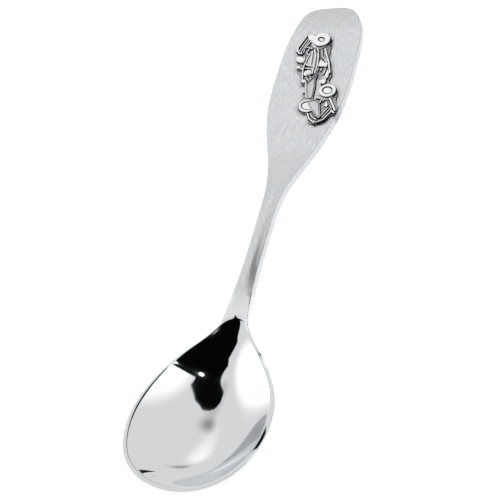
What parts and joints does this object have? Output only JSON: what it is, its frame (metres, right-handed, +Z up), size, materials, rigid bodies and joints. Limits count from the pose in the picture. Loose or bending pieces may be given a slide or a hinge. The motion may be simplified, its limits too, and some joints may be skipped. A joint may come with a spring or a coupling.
{
  "type": "child's spoon",
  "caption": "Child's metal spoon with a broad shallow bowl, a slim neck and a flat blade-shaped handle that carries a small cast racing-car emblem.",
  "frame": {"origin": "on the surface that the spoon lies on, under the middle of its length and width", "axes": "+X from the bowl's tip towards the handle's end, +Y to the left seen from the bowl's tip, +Z up out of the bowl"},
  "size_m": [0.152, 0.0354, 0.007],
  "materials": {
    "spoon_steel": "bowl mirror-polished, neck and handle brushed to satin",
    "emblem_metal": "cast relief, bright on its high places and oxidised dark in its hollows",
    "solder": "dull dark grey"
  },
  "bodies": {
    "root": {"spoon_body": "spoon_steel", "racing_car_emblem": "emblem_metal", "solder_film": "solder"}
  },
  "joints": []
}
